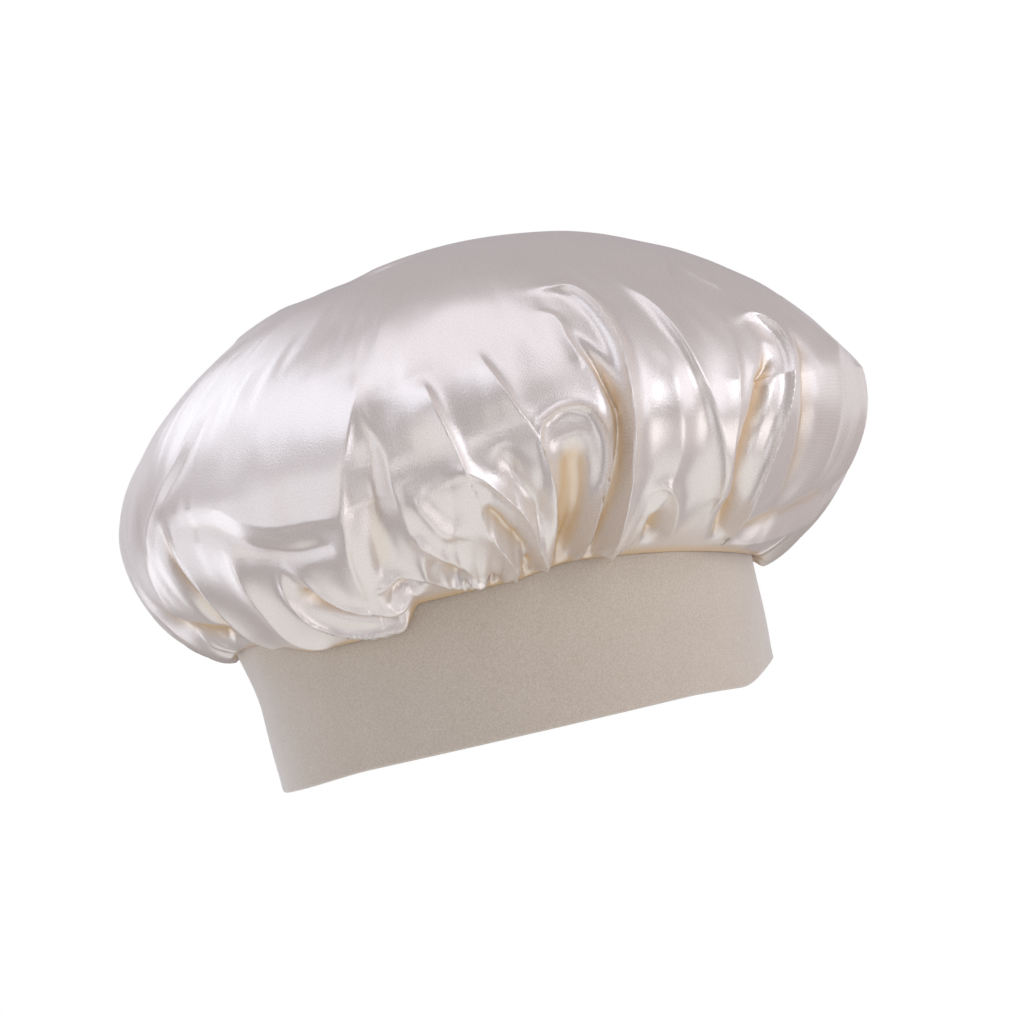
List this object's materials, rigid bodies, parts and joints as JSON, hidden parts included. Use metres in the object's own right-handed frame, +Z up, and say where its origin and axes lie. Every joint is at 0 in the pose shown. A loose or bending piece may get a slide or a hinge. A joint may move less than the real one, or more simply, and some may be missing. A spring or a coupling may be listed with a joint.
{
  "type": "sleep bonnet",
  "caption": "Full satin crown gathered onto a wide, close-fitting jersey band, to be worn on the head in bed; held in its worn shape.",
  "frame": {"origin": "middle of the opening at the band's lower edge, where the head goes in", "axes": "+Z up through the crown, +X towards the forehead along the band's long axis, -Y towards the side that the picture shows"},
  "size_m": [0.2962, 0.2815, 0.1905],
  "materials": {
    "satin": "champagne satin, glossy along the folds",
    "jersey": "matt fine knit"
  },
  "bodies": {
    "root": {"crown": "satin", "band": "jersey"}
  },
  "joints": []
}
